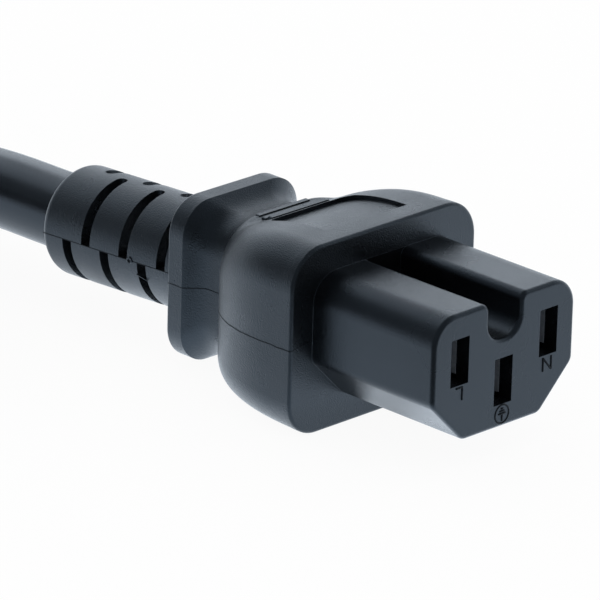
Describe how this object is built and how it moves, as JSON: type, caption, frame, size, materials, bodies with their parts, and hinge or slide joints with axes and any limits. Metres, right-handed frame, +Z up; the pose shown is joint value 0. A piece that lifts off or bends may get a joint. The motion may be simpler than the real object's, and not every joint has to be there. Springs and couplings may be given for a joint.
{
  "type": "power cord",
  "caption": "Moulded power cord: keyed appliance connector with a slotted strain relief, black cable put away in a tied coil, and a shrouded plug at the far end.",
  "frame": {"origin": "middle of the connector's length and width, on the floor that it lies on", "axes": "-Y is the way the connector pushes in, +Y the way its cable leaves, +Z up through the key groove"},
  "size_m": [0.1387, 0.1866, 0.0414],
  "materials": {
    "moulding": "fine satin, soft vinyl",
    "insert": "fine satin, hard",
    "cable": "satin vinyl jacket",
    "strap": "woven nylon",
    "contact": "tin plated",
    "pin": "nickel plated",
    "strands": "bare copper",
    "line_core": "smooth",
    "neutral_core": "smooth",
    "earth_core": "smooth"
  },
  "bodies": {
    "root": {"connector_overmould": "moulding", "connector_insert": "insert", "line_contact": "contact", "line_strands": "strands", "line_core": "line_core", "neutral_contact": "contact", "neutral_strands": "strands", "neutral_core": "neutral_core", "earth_contact": "contact", "earth_strands": "strands", "earth_core": "earth_core", "cable_lead": "cable", "cable_coil": "cable", "cable_tail": "cable", "coil_tie": "strap", "plug_overmould": "moulding", "plug_insert": "insert", "plug_line_pin": "pin", "plug_line_strands": "strands", "plug_line_core": "line_core", "plug_neutral_pin": "pin", "plug_neutral_strands": "strands", "plug_neutral_core": "neutral_core", "plug_earth_pin": "pin", "plug_earth_strands": "strands", "plug_earth_core": "earth_core"}
  },
  "joints": []
}
